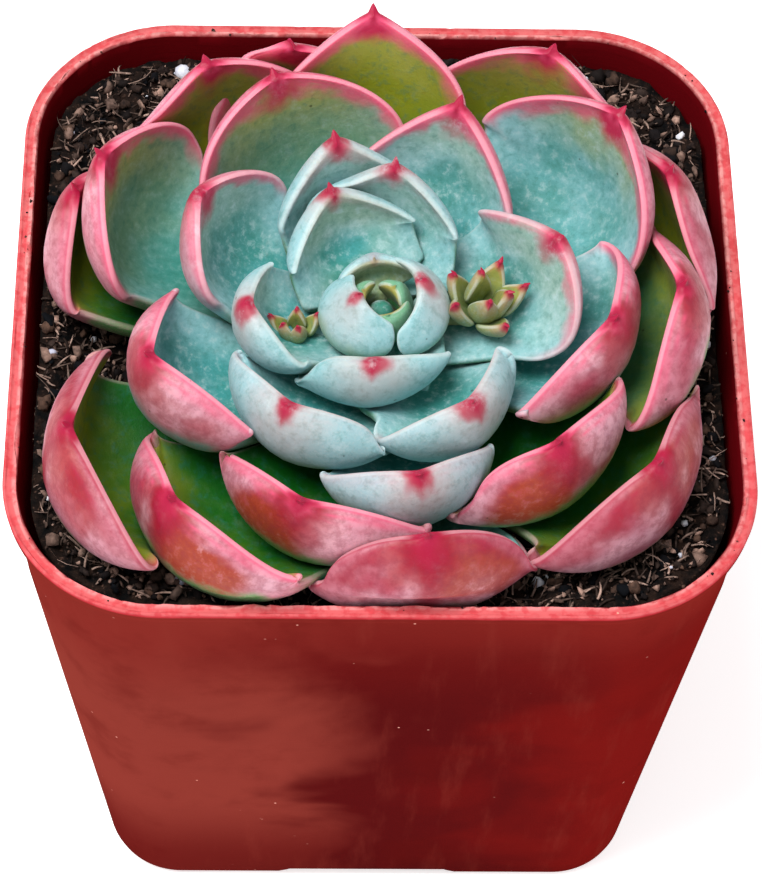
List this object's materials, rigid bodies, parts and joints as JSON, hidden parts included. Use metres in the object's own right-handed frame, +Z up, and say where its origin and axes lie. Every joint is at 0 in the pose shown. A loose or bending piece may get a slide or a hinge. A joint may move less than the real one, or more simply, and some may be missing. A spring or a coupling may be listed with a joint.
{
  "type": "potted mexican snowball",
  "caption": "Rosette succulent with thick, cupped, red-pointed leaves and small offsets, growing in peat soil in a square tapered grower's pot.",
  "frame": {"origin": "middle of the pot's footprint, on the plane of its feet", "axes": "+Z up; the pot's sides face +X, -X, +Y and -Y; the picture looks from the -Y side"},
  "size_m": [0.0636, 0.0636, 0.0752],
  "materials": {
    "pot": "satin moulded terracotta-red plastic",
    "soil": "moist peat with fibres and white perlite",
    "stem": "short fleshy green-brown stem",
    "leaf_inner": "waxy blue-green with a powdery bloom and pink margins",
    "leaf_outer": "waxy, pink to crimson underneath and green above, with a powdery bloom",
    "offset": "waxy, olive green with red points"
  },
  "bodies": {
    "root": {"pot": "pot", "soil": "soil", "stem": "stem", "heart": "leaf_inner", "offset_right": "offset", "offset_left": "offset", "leaf_01": "leaf_inner", "leaf_02": "leaf_inner", "leaf_03": "leaf_inner", "leaf_04": "leaf_inner", "leaf_05": "leaf_inner", "leaf_06": "leaf_inner", "leaf_07": "leaf_inner", "leaf_08": "leaf_inner", "leaf_09": "leaf_inner", "leaf_10": "leaf_inner", "leaf_11": "leaf_outer", "leaf_12": "leaf_outer", "leaf_13": "leaf_outer", "leaf_14": "leaf_outer", "leaf_15": "leaf_outer", "leaf_16": "leaf_outer", "leaf_17": "leaf_outer", "leaf_18": "leaf_outer", "leaf_19": "leaf_outer", "leaf_20": "leaf_outer", "leaf_21": "leaf_outer", "leaf_22": "leaf_outer", "leaf_23": "leaf_outer", "leaf_24": "leaf_outer", "leaf_25": "leaf_outer", "leaf_26": "leaf_outer", "leaf_27": "leaf_outer", "leaf_28": "leaf_outer", "leaf_29": "leaf_outer"}
  },
  "joints": []
}
